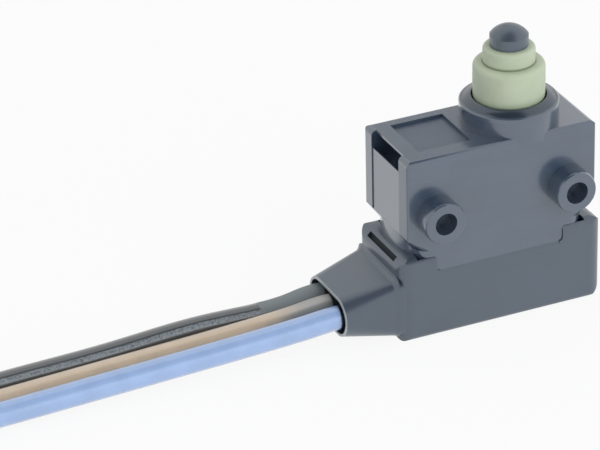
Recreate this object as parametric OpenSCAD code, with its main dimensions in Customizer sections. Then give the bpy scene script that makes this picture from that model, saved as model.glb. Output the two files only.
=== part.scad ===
// Sealed pushbutton micro switch with three leads, in millimetres
// Origin: middle of the base's underside. X runs along the housing, the front face looks to -Y, Z is up

/* [Housing] */
// Length of the housing
housing_l = 20; // [19.4:0.1:22]
// Depth of the housing, front to back
housing_d = 9.2; // [9:0.1:11]
// Height of the housing's top above the base's underside
housing_top = 19; // [18.5:0.1:22]
// Radius of the upright corners
corner_r = 0.2; // [0.1:0.05:0.4]
// Radius of the top edges at front and back
top_edge_r = 0.35; // [0.2:0.05:0.6]
// Radius of the top edges at the two ends
end_edge_r = 0.55; // [0.4:0.05:1]
// Height below the top where the end faces start to slope inwards
slope_drop = 8.2; // [7.5:0.1:8.4]
// How far the end faces slope inwards
slope_in = 1.06; // [0.8:0.02:1.2]
// Height of the sloping part
slope_h = 1.6; // [1.3:0.1:1.7]
// Radius of the corners of the neck below the slope
neck_r = 1.6; // [1.2:0.1:1.8]
// Depth of the neck in the base
neck_drop = 0.8; // [0.5:0.1:1.2]
// Thickness of the roof over the contact chamber
roof_t = 1.7; // [1.5:0.1:2]
// Wall of the skirt that stands in the base
skirt_wall = 0.8; // [0.6:0.1:1]

/* [Contact chamber] */
// Chamber length to the left of the middle
chamber_left = 7; // [6.8:0.1:7.2]
// Chamber length to the right of the middle
chamber_right = 7.5; // [7.4:0.1:7.7]
// Chamber depth, front to back
chamber_d = 5.8; // [5.7:0.1:6.2]

/* [Collar and boot seat] */
// Place of the plunger axis, right of the middle
button_x = 3.05; // [2.8:0.05:3.3]
// Outer diameter of the collar
collar_od = 9.6; // [9.2:0.1:10]
// Height of the collar above the top
collar_h = 2; // [1.6:0.1:2.6]
// Bore of the collar round the boot
collar_bore = 7.1; // [6.8:0.1:7.4]
// Bevel on the collar's outer rim
collar_bevel = 0.3; // [0.1:0.05:0.5]
// Depth of the boot's seat below the top
seat_drop = 0.5; // [0.3:0.1:0.7]
// Diameter of the groove that holds the boot's bead
groove_d = 7.9; // [7.8:0.1:8.2]
// Height of that groove
groove_h = 1; // [0.9:0.1:1.2]
// Outer diameter of the plunger's guide sleeve
sleeve_od = 4; // [3.6:0.1:4.4]
// Height of the guide sleeve above the seat
sleeve_h = 2; // [1:0.1:2.4]

/* [Mounting pegs] */
// Distance between the two pegs
peg_pitch = 13.9; // [13:0.1:14.2]
// Height of the pegs' axes below the top
peg_drop = 6.1; // [5.5:0.1:6.5]
// Outer diameter of a peg
peg_od = 4.24; // [3.6:0.02:4.6]
// Length of a peg in front of the face
peg_l = 2.1; // [1.6:0.1:3]
// Diameter of the coring hole in a peg
peg_hole = 2.26; // [1.8:0.02:2.6]
// Depth of that hole
peg_hole_l = 2; // [1.5:0.1:2.6]
// Length of the rounding at the tip of a peg
peg_round_l = 0.5; // [0.2:0.05:0.6]
// How far that rounding goes in at the tip
peg_round_in = 0.18; // [0.1:0.02:0.3]

/* [Top recess and lever socket] */
// Length of the shallow recess in the top
recess_l = 5.5; // [4.5:0.1:6]
// Width of that recess
recess_w = 6.15; // [5:0.05:6.6]
// Distance of the recess from the left end
recess_from_end = 2.1; // [2:0.1:2.6]
// Distance of the recess from the front face
recess_from_front = 1.8; // [1.2:0.1:2.2]
// Depth of the recess
recess_depth = 0.3; // [0.15:0.05:0.45]
// Width of the open lever socket in the left end
socket_w = 5.85; // [5:0.05:6.2]
// Distance of the socket from the front face
socket_from_front = 1.85; // [1.5:0.05:2.2]
// Height of the socket's mouth below the top
socket_mouth_h = 1.75; // [1.4:0.05:2]
// Depth of the socket into the left end
socket_depth = 2.2; // [1.8:0.1:2.3]
// How far the roof's edge stands back over the socket
socket_lip_back = 0.55; // [0.3:0.05:0.8]
// Thickness of the roof's edge over the socket
socket_lip_t = 0.25; // [0.2:0.05:0.35]
// How far the panel below the socket lies behind the end face
panel_recess = 0.1; // [0.05:0.05:0.4]

/* [Base] */
// Length of the base
base_l = 21.7; // [21:0.1:24]
// Depth of the base, front to back
base_d = 9.5; // [9.4:0.1:12]
// Height of the base's rim at its two ends
rim_z = 8.65; // [8.5:0.05:8.8]
// Height of the base between the ends, at front and back
window_z = 6.95; // [6:0.05:7.4]
// Length of that lower stretch to the left of the middle
window_left = 7; // [6.6:0.1:7.2]
// Length of that lower stretch to the right of the middle
window_right = 6.5; // [6.2:0.1:7.2]
// Radius at the foot of that stretch's two ends
window_foot_r = 0.35; // [0.2:0.05:0.6]
// Radius at the top of that stretch's two ends
window_top_r = 0.5; // [0.2:0.05:0.8]
// Height of the slope that leads from the base's face to the housing's below that stretch
window_slope_h = 0.3; // [0.1:0.05:0.6]
// Height of the floor that the housing stands on
base_floor = 4.2; // [4.1:0.1:4.8]
// Radius of the base's upright corners
base_corner_r = 1.3; // [0.6:0.1:1.8]
// Radius of the base's lower edges
base_under_r = 0.4; // [0.3:0.1:1]
// Radius of the base's lower edge at the end away from the gland
base_far_r = 1.8; // [0.4:0.1:2.5]
// Radius of the rim's upper edges at front and back
rim_r = 0.75; // [0.2:0.05:0.8]
// Radius of the rim's upper edges at the two ends
rim_end_r = 1.3; // [1:0.05:1.4]
// Length of the slot in the rounding of each end
rim_slot_l = 5.8; // [4:0.1:6.4]
// Width of that slot
rim_slot_w = 0.55; // [0.3:0.05:0.7]
// Depth of that slot
rim_slot_depth = 0.4; // [0.2:0.05:0.6]
// Tilt of that slot from the level
rim_slot_tilt = 42; // [35:1:50]

/* [Cable gland] */
// Length of the gland from the base's end
gland_l = 5.45; // [4.5:0.05:8]
// Width of the gland where it meets the base
gland_root_w = 9.2; // [8.4:0.1:9.3]
// Height of the gland's upper side where it meets the base
gland_root_top = 6.5; // [6:0.1:6.6]
// Height of the gland's underside where it meets the base
gland_root_under = 0.3; // [0.1:0.1:0.6]
// Corner radius of the gland where it meets the base
gland_root_r = 0.9; // [0.6:0.1:1.6]
// Radius of the hollow where the gland's upper side meets the base
gland_hollow_r = 0.45; // [0.3:0.05:0.8]
// Width of the gland's oval mouth
mouth_w = 8.3; // [7.9:0.05:8.6]
// Height of the gland's oval mouth
mouth_h = 4; // [3.9:0.05:4.6]
// Wall of the mouth
mouth_wall = 0.25; // [0.2:0.05:0.35]
// Depth of the mouth
mouth_depth = 1.2; // [0.8:0.1:2]
// Height of the mouth's middle
mouth_z = 3.1; // [2.9:0.05:3.2]

/* [Plunger] */
// Travel of the plunger
travel = 2.2; // [1.5:0.1:2.4]
// Diameter of the plunger's stem
stem_d = 2.4; // [2:0.1:2.6]
// Diameter of the domed head
head_d = 3.74; // [3.4:0.02:4]
// Height of the head's underside above the collar
head_lift = 5.65; // [5.3:0.05:6.2]
// Height of the head's straight side
head_side_h = 1.05; // [0.6:0.05:1.6]
// Height of the dome on the head
dome_h = 0.95; // [0.5:0.05:1.3]
// Diameter of the neck under the head
neck_d = 2.9; // [2.7:0.1:3.1]
// Height of the neck, where the boot's lip sits
neck_h = 1.6; // [1.4:0.1:1.8]
// Diameter of the flange under the neck
flange_d = 3.7; // [3.4:0.1:3.8]
// Thickness of that flange
flange_t = 0.6; // [0.4:0.1:0.8]
// Diameter of the spigot at the stem's lower end
spigot_d = 1.9; // [1.7:0.1:2]
// Length of the spigot below its washer
spigot_l = 0.8; // [0.4:0.1:1]
// Diameter of the retaining washer
washer_d = 3.6; // [3.2:0.1:3.8]
// Thickness of the retaining washer
washer_t = 0.6; // [0.4:0.1:0.8]

/* [Boot] */
// Diameter of the boot's lower tier
boot_d = 6.94; // [6.6:0.02:7]
// Diameter of the boot's upper tier
boot_top_d = 5.04; // [4.8:0.02:5.4]
// Diameter of the boot's waist inside the collar
boot_waist_d = 6.1; // [5.9:0.1:6.4]
// Height of the step between the tiers above the collar
boot_step_h = 3.95; // [3.7:0.05:4.1]
// Wall of the boot
boot_wall = 0.55; // [0.4:0.05:0.6]
// Thickness of the boot's bead in its groove
bead_t = 0.9; // [0.7:0.1:0.9]

/* [Contacts] */
// Thickness of the terminal strip
strip_t = 0.4; // [0.3:0.05:0.45]
// Width of the terminal strips in the chamber
strip_w = 2.6; // [2.2:0.1:3]
// Width of a terminal's tail
tail_w = 0.8; // [0.6:0.05:0.8]
// Height of the carrier's top
carrier_top = 9.9; // [9.6:0.1:10]
// Height of the blade's underside at rest
blade_z = 12; // [11.9:0.1:12.2]
// Thickness of the blade
blade_t = 0.25; // [0.2:0.01:0.3]
// Width of the blade
blade_w = 3; // [2.6:0.1:3.4]
// Place of the blade's pivot, left of the middle
pivot_left = 5.2; // [5:0.05:5.3]
// Place of the contacts, right of the middle
contact_x = 5.9; // [5.8:0.05:5.95]
// Diameter of the contact heads
contact_d = 1.5; // [1.2:0.1:1.5]
// Height of the moving contact's heads
contact_h = 0.4; // [0.3:0.05:0.45]
// Gap between the open contacts
contact_gap = 0.5; // [0.45:0.05:0.6]
// Rise of the bowed snap tongue
tongue_rise = 0.9; // [0.6:0.05:1.2]
// Place of the lower contact's terminal, right of the middle
no_x = 2.6; // [2.2:0.1:3]
// Place of the upper contact's terminal, right of the middle
nc_x = 7.05; // [7:0.01:7.1]
// Mean diameter of the operating spring
spring_d = 2.5; // [2.4:0.05:2.8]
// Wire of the operating spring
spring_wire = 0.32; // [0.24:0.02:0.36]
// Turns of the operating spring
spring_turns = 5; // [4:1:6]

/* [Leads] */
// Diameter of a lead
lead_d = 2.36; // [2.2:0.02:2.38]
// Distance between the leads in the gland
lead_pitch = 2.4; // [2.38:0.01:2.42]
// Diameter of a lead's bare conductor
conductor_d = 1.1; // [0.9:0.05:1.2]
// Diameter of a solder joint
solder_d = 1.7; // [1.5:0.1:1.9]
// Length of a solder joint
solder_l = 1.2; // [0.8:0.1:1.6]
// Length of the leads between the gland's floor and the hank
lead_run = 54.4; // [54:0.1:55]
// Fall of the leads, for each millimetre of their run
lead_fall = 0.036; // [0.03:0.001:0.038]
// Height of the wave in the rear lead
lead_wave = 0.45; // [0:0.05:0.5]
// Length of the hank's straight runs
hank_run = 30.5; // [28:0.5:34]
// Thickness of the hank's tie
tie_t = 0.3; // [0.2:0.05:0.4]
// Width of the hank's tie
tie_w = 4; // [3:0.5:6]

/* [Fits] */
// Radial clearance of the plunger in its guide
slide_gap = 0.05; // [0.03:0.01:0.08]
// Gap between pieces that lie against each other
seat_gap = 0.05; // [0.03:0.01:0.08]

/* [Hidden] */
$fn = 64;
over = 0.5;

// Housing, worked out
left_end = -housing_l / 2;
front_face = -housing_d / 2;
neck_l = housing_l - 2 * slope_in;
slope_top = housing_top - slope_drop;
slope_foot = slope_top - slope_h;
skirt_d = chamber_d + 2 * skirt_wall;
skirt_left = chamber_left + skirt_wall;
skirt_right = chamber_right + skirt_wall;
roof_z = housing_top - roof_t;
seat_z = housing_top - seat_drop;
collar_top = housing_top + collar_h;
peg_z = housing_top - peg_drop;
guide_d = stem_d + 2 * slide_gap;
socket_sill_z = housing_top - socket_mouth_h;
pocket_below = 1;
socket_pocket_z = socket_sill_z - pocket_below;
sill_flat = 0.15;
sill_slope = 0.35;
bore_bevel = 0.15;
plug_in = 0.1;
plug_d = housing_d - 2 * plug_in;
neck_bury = 0.2;
rim_wall = (base_d - plug_d) / 2;
// Height of the rim's inner edge at front and back, above which the neck is as deep as the housing
rim_edge_z = rim_z - rim_r + sqrt(pow(rim_r, 2) - pow(max(0, rim_r - rim_wall), 2));
neck_edge_z = rim_edge_z + seat_gap;
facet_turns = [22.5, 45, 67.5];

// Gland, worked out
base_end = -base_l / 2;
mouth_x = base_end - gland_l;
lead_start = mouth_x + mouth_depth;
mouth_flat = 0.01;
taper_slice = 0.02;
taper_root = 0.8;
hollow_side = 0.12;
hollow_steps = [0, 0.2, 0.5, 1];

// Plunger, worked out: heights
head_z = collar_top + head_lift;
flange_top = head_z - neck_h;
flange_z = flange_top - flange_t;
washer_top = roof_z - seat_gap;
washer_z = washer_top - washer_t;
dome_r = (pow(head_d / 2, 2) + pow(dome_h, 2)) / (2 * dome_h);
head_top = head_z + head_side_h + dome_h;

// Boot, worked out
boot_step_z = collar_top + boot_step_h;
boot_lip_z = flange_top + seat_gap;
boot_top_z = head_z - seat_gap;
boot_round = 0.45;
boot_lip_round = 0.3;
boot_flare = boot_d / 2 - boot_waist_d / 2;

// Contacts, worked out
pivot_x = -pivot_left;
ear_w = 0.6;
ear_h = 0.8;
post_w = strip_w + strip_t;
blade_neck_w = post_w - 2 * ear_w - 4 * seat_gap;
blade_tail_l = 0.65;
blade_tail_gap = 0.25;
blade_nose = 0.65;
nose_r = 0.4;
slot_w = 1.5;
slot_end = 0.4;
slot_land = 0.2;
tongue_root = 0.3;
prong_reach = 1.1;
prong_x = pivot_x + prong_reach;
prong_w = 1.1;
prong_h = 0.75;
tongue_w = 1;
tongue_tip = prong_x + strip_t / 2 + seat_gap;
tongue_half = (slot_end - tongue_tip) / 2;
tongue_r = (pow(tongue_half, 2) + pow(tongue_rise, 2)) / (2 * tongue_rise);
shank_d = 0.8;
nc_face = blade_z + blade_t + contact_h + seat_gap;
nc_head_h = 0.6;
nc_arm_z = nc_face + nc_head_h;
no_face = blade_z - contact_h - contact_gap;
no_arm_top = carrier_top + strip_t;
arm_reach = 0.9;
tail_below = 0.7;
tail_end = mouth_z - tail_below;
bridge_rise = 1.6;
bridge_low = base_floor + bridge_rise;
bridge_h = 1;
spring_seat_d = 1.6;
spring_seat_h = 0.3;

// Leads, worked out: three in a row that turns upright on its way to the hank
lead_r = lead_d / 2;
lead_straight = 1.9;
lead_sides = 8;
route_steps = 18;
route_step = (lead_run - lead_straight) / route_steps;
twist_from = 36;
twist_to = lead_run - route_step;
twist_spread = 0.8;
side_step = 1.2;
wave_l = 19;
wave_fade = 12;
sag_in = 4;
sags = [0.25, 0.4, 0.1];
hank_x = lead_start - lead_run;
hank_y = 4.1;
hank_in_r = 3 * lead_d;
hank_out_r = hank_in_r + lead_d;
hank_entry_y = hank_y - hank_out_r;
hank_h = 2 * lead_pitch + lead_d;
hank_mid_z = tie_t + hank_h / 2;
fold_gap = 0.2;

// Colours
slate = [0.36, 0.40, 0.44];
slate_dark = [0.31, 0.35, 0.39];
button_grey = [0.30, 0.33, 0.37];
boot_green = [0.74, 0.79, 0.66];
brass = [0.78, 0.62, 0.34];
silver_tip = [0.80, 0.80, 0.78];
spring_steel = [0.62, 0.63, 0.64];
copper = [0.72, 0.45, 0.30];
tin = [0.70, 0.71, 0.70];
lead_colours = [[0.33, 0.36, 0.39], [0.72, 0.58, 0.47], [0.58, 0.68, 0.87]];

// Small helpers

module rounded_rect(l, w, r) {
    square([l - 2 * r, w], center = true);
    square([l, w - 2 * r], center = true);
    for (sx = [-1, 1], sy = [-1, 1])
        translate([sx * (l / 2 - r), sy * (w / 2 - r)])
            circle(r);
}

// Draws an outline in the X and Z directions and gives it a width along Y
module along_y(w) {
    translate([0, w / 2, 0])
        rotate([90, 0, 0])
            linear_extrude(w)
                children();
}

// Draws an outline in the Y and Z directions and gives it a length along X, from x
module along_x(x, l) {
    translate([x, 0, 0])
        rotate([90, 0, 90])
            linear_extrude(l)
                children();
}

module box(x0, x1, y0, y1, z0, z1) {
    translate([x0, y0, z0])
        cube([x1 - x0, y1 - y0, z1 - z0]);
}

function arc(cx, cy, r, from, to, steps = 8) =
    [for (i = [0 : steps]) let (a = from + (to - from) * i / steps) [cx + r * cos(a), cy + r * sin(a)]];

// A round bar swept along points, as one solid
function unit(v) = v / norm(v);
function path_way(p, i) = unit(p[min(i + 1, len(p) - 1)] - p[max(i - 1, 0)]);
function ring(centre, way, r, sides) =
    let (side = unit(cross(way, [0, 0, 1])), up = cross(side, way))
    [for (k = [0 : sides - 1]) let (a = 360 * (k + 0.5) / sides) centre + r * (cos(a) * side + sin(a) * up)];

// Route of a lead: place is -1 for the front one, 0 for the middle one and 1 for the rear one
function route_far(i) = i == 0 ? 0 : lead_straight + (i - 1) * route_step;
function past_straight(far) = max(0, far - lead_straight);
function share(far) = max(0, min(1, (far - twist_from) / (twist_to - twist_from)));
function ease(t) = t * t * (3 - 2 * t);
function line_z(far) = mouth_z - lead_fall * past_straight(far);
function wave(far) =
    -lead_wave * sin(360 * past_straight(far) / wave_l) * exp(-past_straight(far) / wave_fade);
function sag(far, place) = sags[place + 1] * (1 - exp(-past_straight(far) / sag_in));
function lead_point(far, place) =
    let (turned = ease(share(far)), row = lead_pitch + twist_spread * turned * (1 - turned),
         mid_y = hank_entry_y * pow(turned, side_step),
         mid_z = line_z(far) + (hank_mid_z - line_z(far)) * sin(90 * turned))
    [lead_start - far, mid_y + place * row * cos(90 * turned),
     mid_z + place * row * sin(90 * turned)
     + (1 - turned) * (max(0, place) * wave(far) - sag(far, place))];
function lead_route(place) = [for (i = [0 : route_steps + 1]) lead_point(route_far(i), place)];

module swept_bar(path, r, sides) {
    last = len(path) - 1;
    points = [for (i = [0 : last]) each ring(path[i], path_way(path, i), r, sides)];
    walls = [for (i = [0 : last - 1], k = [0 : sides - 1]) let (n = (k + 1) % sides)
        [i * sides + k, i * sides + n, (i + 1) * sides + n, (i + 1) * sides + k]];
    start_cap = [for (k = [0 : sides - 1]) sides - 1 - k];
    end_cap = [for (k = [0 : sides - 1]) last * sides + k];
    polyhedron(points, concat([start_cap], walls, [end_cap]), convexity = 6);
}

// Housing

module end_outline() {
    polygon([[-neck_l / 2, slope_foot], [neck_l / 2, slope_foot], [housing_l / 2, slope_top],
             [housing_l / 2, housing_top - end_edge_r], [-housing_l / 2, housing_top - end_edge_r],
             [-housing_l / 2, slope_top]]);
    translate([0, housing_top - end_edge_r])
        square([housing_l - 2 * end_edge_r, 2 * end_edge_r], center = true);
    for (s = [-1, 1])
        translate([s * (housing_l / 2 - end_edge_r), housing_top - end_edge_r])
            circle(end_edge_r);
}

module side_outline() {
    translate([0, housing_top / 2])
        rounded_rect(housing_d, housing_top, top_edge_r);
}

// All that lies beyond a plane through a point
module beyond(point, way) {
    reach = 2 * housing_l;
    translate(point)
        rotate([0, acos(way.z / norm(way)), atan2(way.y, way.x)])
            translate([-reach / 2, -reach / 2, 0])
                cube(reach);
}

// Facets that bring a square upper corner down to the neck's round one
module corner_cut(sx, sy) {
    corner = [sx * housing_l / 2, sy * housing_d / 2, slope_top];
    for (turn = facet_turns) {
        foot = [sx * (neck_l / 2 - neck_r + neck_r * cos(turn)),
                sy * (housing_d / 2 - neck_r + neck_r * sin(turn)), slope_foot];
        tangent = [-sx * sin(turn), sy * cos(turn), 0];
        beyond(corner, sx * sy * cross(tangent, corner - foot));
    }
}

module upper_block() {
    difference() {
        intersection() {
            linear_extrude(housing_top)
                rounded_rect(housing_l, housing_d, corner_r);
            along_y(housing_d)
                end_outline();
            along_x(-housing_l / 2, housing_l)
                side_outline();
        }
        for (sx = [-1, 1], sy = [-1, 1])
            corner_cut(sx, sy);
    }
}

module neck() {
    translate([0, 0, neck_edge_z])
        linear_extrude(slope_foot + neck_bury - neck_edge_z)
            rounded_rect(neck_l, housing_d, neck_r);
    translate([0, 0, rim_z - neck_drop])
        linear_extrude(neck_drop + neck_bury)
            rounded_rect(neck_l, plug_d, neck_r);
}

module neck_space() {
    box(-neck_l / 2, neck_l / 2, -plug_d / 2, plug_d / 2, rim_z - neck_drop, rim_z + over);
}

// The lower stretch between the base's ends, which the housing's apron fills
module window_outline() {
    polygon(concat(
        [[-window_left - window_top_r, rim_z + over]],
        arc(-window_left - window_top_r, rim_z - window_top_r, window_top_r, 90, 0),
        arc(-window_left + window_foot_r, window_z + window_foot_r, window_foot_r, 180, 270),
        arc(window_right - window_foot_r, window_z + window_foot_r, window_foot_r, 270, 360),
        arc(window_right + window_top_r, rim_z - window_top_r, window_top_r, 180, 90),
        [[window_right + window_top_r, rim_z + over]]));
}

module apron_space() {
    along_y(housing_d)
        window_outline();
}

module skirt_space() {
    box(-skirt_left, skirt_right, -skirt_d / 2, skirt_d / 2, base_floor, rim_z + over);
}

module chamber_space() {
    box(-chamber_left, chamber_right, -chamber_d / 2, chamber_d / 2, base_floor - over, roof_z);
}

module collar() {
    translate([button_x, 0, housing_top - top_edge_r - over])
        cylinder(h = collar_h + top_edge_r + over - collar_bevel, d = collar_od);
    translate([button_x, 0, collar_top - collar_bevel])
        cylinder(h = collar_bevel, d1 = collar_od, d2 = collar_od - 2 * collar_bevel);
}

module boot_seat_space() {
    translate([button_x, 0, seat_z]) {
        difference() {
            union() {
                cylinder(h = collar_h + seat_drop + over, d = collar_bore);
                translate([0, 0, collar_h + seat_drop - bore_bevel])
                    cylinder(h = 2 * bore_bevel, d1 = collar_bore, d2 = collar_bore + 4 * bore_bevel);
                cylinder(h = groove_h, d = groove_d);
            }
            translate([0, 0, -over])
                cylinder(h = sleeve_h + over, d = sleeve_od);
        }
        translate([0, 0, -roof_t - over])
            cylinder(h = roof_t + sleeve_h + 2 * over, d = guide_d);
    }
}

function peg_tip_arc() =
    [for (a = [0 : 15 : 90]) [peg_od / 2 - peg_round_in * (1 - cos(a)), peg_round_l * sin(a)]];

module peg(x) {
    translate([x, front_face + over, peg_z])
        rotate([90, 0, 0]) {
            cylinder(h = peg_l + over - peg_round_l, d = peg_od);
            translate([0, 0, peg_l + over - peg_round_l])
                rotate_extrude()
                    polygon(concat([[0, 0]], peg_tip_arc(), [[0, peg_round_l]]));
        }
}

module peg_hole_space(x) {
    translate([x, front_face - peg_l + peg_hole_l, peg_z])
        rotate([90, 0, 0])
            cylinder(h = peg_hole_l + over, d = peg_hole);
}

module recess_space() {
    box(left_end + recess_from_end, left_end + recess_from_end + recess_l,
        front_face + recess_from_front, front_face + recess_from_front + recess_w,
        housing_top - recess_depth, housing_top + over);
}

module socket_space() {
    pocket_x = left_end + socket_depth;
    lip_x = left_end + socket_lip_back;
    sill_x = left_end + panel_recess + sill_flat;
    translate([0, front_face + socket_from_front + socket_w / 2, 0]) {
        along_y(socket_w)
            polygon([[left_end - over, socket_sill_z], [sill_x, socket_sill_z],
                     [sill_x + sill_slope, socket_pocket_z], [pocket_x, socket_pocket_z],
                     [pocket_x, housing_top - 2 * socket_lip_t], [lip_x, housing_top - socket_lip_t],
                     [lip_x, housing_top + over], [left_end - over, housing_top + over]]);
        along_y(socket_w)
            translate([left_end - over, rim_z])
                square([panel_recess + over, socket_sill_z - rim_z + sill_flat]);
    }
}

module housing() {
    color(slate)
        difference() {
            union() {
                upper_block();
                neck();
                apron_space();
                skirt_space();
                collar();
                for (s = [-1, 1])
                    peg(s * peg_pitch / 2);
            }
            chamber_space();
            boot_seat_space();
            for (s = [-1, 1])
                peg_hole_space(s * peg_pitch / 2);
            recess_space();
            socket_space();
        }
}

// Base with its gland

// A rectangle that stands on zero, with one radius for its upper corners and one for its lower ones
module standing_outline(w, h, upper_r, lower_r) {
    translate([0, (h - upper_r) / 2 + lower_r / 2])
        square([w, h - upper_r - lower_r], center = true);
    translate([0, h - upper_r])
        square([w - 2 * upper_r, 2 * upper_r], center = true);
    translate([0, lower_r])
        square([w - 2 * lower_r, 2 * lower_r], center = true);
    for (s = [-1, 1]) {
        translate([s * (w / 2 - upper_r), h - upper_r])
            circle(upper_r);
        translate([s * (w / 2 - lower_r), lower_r])
            circle(lower_r);
    }
}

module base_block() {
    intersection() {
        linear_extrude(rim_z)
            rounded_rect(base_l, base_d, base_corner_r);
        along_y(base_d)
            standing_outline(base_l, rim_z, rim_end_r, base_under_r);
        along_x(-base_l / 2, base_l)
            standing_outline(base_d, rim_z, rim_r, base_under_r);
    }
}

module mouth_outline(shrink) {
    translate([0, mouth_z])
        rounded_rect(mouth_w - 2 * shrink, mouth_h - 2 * shrink, mouth_h / 2 - shrink - mouth_flat);
}

// Slot in the rounding of the rim's end: s is -1 for the left end and 1 for the right one
module rim_slot_space(s) {
    translate([s * (base_l / 2 - rim_end_r), 0, rim_z - rim_end_r])
        rotate([0, s < 0 ? 180 + rim_slot_tilt : -rim_slot_tilt, 0])
            translate([rim_end_r - rim_slot_depth, -rim_slot_l / 2, -rim_slot_w / 2])
                cube([rim_slot_depth + over, rim_slot_l, rim_slot_w]);
}

// Rounding of the lower edge at the end away from the gland
module far_edge_space() {
    along_y(2 * base_d)
        translate([base_l / 2 - base_far_r, base_far_r])
            difference() {
                translate([0, -base_far_r - over])
                    square(base_far_r + over);
                circle(base_far_r);
            }
}

// Section of the gland between its root and its mouth, grown upwards and a little to the sides
function taper_share(x) = (base_end + taper_root - x) / (gland_l + taper_root);
function between(from, to, share) = from + (to - from) * share;

module gland_section(x, grow) {
    far = taper_share(x);
    top = between(gland_root_top, mouth_z + mouth_h / 2, far) + grow;
    under = between(gland_root_under, mouth_z - mouth_h / 2, far);
    w = between(gland_root_w, mouth_w, far) + 2 * min(grow, hollow_side);
    along_x(x, taper_slice)
        translate([0, (top + under) / 2])
            rounded_rect(w, top - under, between(gland_root_r, mouth_h / 2 - mouth_flat, far));
}

function hollow_grow(step) = gland_hollow_r * (1 - sqrt(1 - pow(1 - step, 2)));

module gland_taper() {
    hull() {
        gland_section(base_end + taper_root, 0);
        along_x(mouth_x, taper_slice)
            mouth_outline(0);
    }
    for (i = [0 : len(hollow_steps) - 2])
        hull() {
            gland_section(base_end - gland_hollow_r * hollow_steps[i], hollow_grow(hollow_steps[i]));
            gland_section(base_end - gland_hollow_r * hollow_steps[i + 1], hollow_grow(hollow_steps[i + 1]));
        }
}

// Slope below the window: s is -1 for the front and 1 for the back
module window_slope_space(s) {
    along_x(-window_left + window_foot_r, window_left + window_right - 2 * window_foot_r)
        polygon([[s * housing_d / 2, window_z], [s * base_d / 2, window_z - window_slope_h],
                 [s * (base_d / 2 + over), window_z - window_slope_h], [s * (base_d / 2 + over), window_z + over],
                 [s * housing_d / 2, window_z + over]]);
}

module conductor(y, x_end) {
    translate([lead_start, y, mouth_z])
        rotate([0, 90, 0])
            cylinder(h = x_end - lead_start, d = conductor_d);
}

// Left face of each terminal's tail, where its conductor ends
common_face = pivot_x - strip_t / 2;
nc_face_x = nc_x - strip_t / 2;
no_face_x = no_x - strip_t / 2;

module black_core() {
    conductor(lead_pitch, common_face);
}

module brown_core() {
    conductor(0, nc_face_x);
}

module blue_core() {
    conductor(-lead_pitch, no_face_x);
}

module solder_space(y, x_end) {
    translate([x_end - solder_l, y, mouth_z])
        rotate([0, 90, 0])
            cylinder(h = solder_l, d = solder_d);
}

module all_solder_spaces() {
    solder_space(lead_pitch, common_face);
    solder_space(0, nc_face_x);
    solder_space(-lead_pitch, no_face_x);
}

module base_overmould() {
    color(slate_dark)
        difference() {
            union() {
                base_block();
                gland_taper();
            }
            along_y(2 * base_d)
                window_outline();
            neck_space();
            skirt_space();
            far_edge_space();
            for (s = [-1, 1]) {
                window_slope_space(s);
                rim_slot_space(s);
            }
            along_x(mouth_x - over, mouth_depth + over)
                mouth_outline(mouth_wall);
            black_core();
            brown_core();
            blue_core();
            all_solder_spaces();
            common_tail();
            nc_tail();
            no_tail();
        }
}

// Plunger, boot and spring

module plunger() {
    color(button_grey)
        translate([button_x, 0, 0]) {
            rotate_extrude()
                polygon([[0, washer_z - spigot_l], [spigot_d / 2, washer_z - spigot_l],
                         [spigot_d / 2, washer_top], [stem_d / 2, washer_top], [stem_d / 2, flange_z],
                         [flange_d / 2, flange_z], [flange_d / 2, flange_top], [neck_d / 2, flange_top],
                         [neck_d / 2, head_z], [0, head_z]]);
            intersection() {
                translate([0, 0, head_z])
                    cylinder(h = head_side_h + dome_h + over, d = head_d);
                translate([0, 0, head_top - dome_r])
                    sphere(dome_r, $fn = 96);
            }
            translate([0, 0, head_z])
                cylinder(h = head_side_h, d = head_d);
        }
}

module plunger_retainer() {
    color(spring_steel)
        translate([button_x, 0, washer_z])
            difference() {
                cylinder(h = washer_t, d = washer_d);
                translate([0, 0, -over])
                    cylinder(h = washer_t + 2 * over, d = spigot_d);
            }
}

module sealing_boot() {
    waist = boot_waist_d / 2;
    lower = boot_d / 2;
    upper = boot_top_d / 2;
    room = flange_d / 2 + 2 * seat_gap;
    color(boot_green)
        translate([button_x, 0, 0])
            rotate_extrude()
                polygon(concat(
                    [[waist - boot_wall, seat_z], [groove_d / 2 - seat_gap, seat_z],
                     [groove_d / 2 - seat_gap, seat_z + bead_t], [waist, seat_z + bead_t],
                     [waist, collar_top]],
                    arc(lower - boot_flare, collar_top + boot_flare, boot_flare, -60, 0, 6),
                    arc(lower - boot_round, boot_step_z - boot_round, boot_round, 0, 90),
                    [[upper, boot_step_z]],
                    arc(upper - boot_lip_round, boot_top_z - boot_lip_round, boot_lip_round, 0, 90),
                    [[neck_d / 2 + seat_gap, boot_top_z], [neck_d / 2 + seat_gap, boot_lip_z],
                     [room, boot_lip_z], [room, boot_step_z - boot_wall],
                     [lower - boot_wall, boot_step_z - boot_wall],
                     [lower - boot_wall, collar_top + 2 * boot_flare],
                     [waist - boot_wall, collar_top]]));
}

module operating_spring() {
    low = blade_z + blade_t + seat_gap + spring_wire / 2;
    high = washer_z - seat_gap - spring_wire / 2;
    steps = 12 * spring_turns;
    helix = [for (i = [0 : steps]) let (a = 360 * i / 12)
        [button_x + spring_d / 2 * cos(a), spring_d / 2 * sin(a), low + (high - low) * i / steps]];
    color(spring_steel)
        swept_bar(helix, spring_wire / 2, 6);
}

// Terminals: a strip that stands in the carrier, with a tail beside its lead

module strip_outline(width, top, tail_y) {
    translate([-width / 2, bridge_low])
        square([width, top - bridge_low]);
    translate([min(-width / 2, tail_y - tail_w / 2), bridge_low])
        square([max(width, width / 2 + abs(tail_y) + tail_w / 2), bridge_h]);
    tail_outline(tail_y);
}

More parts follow.
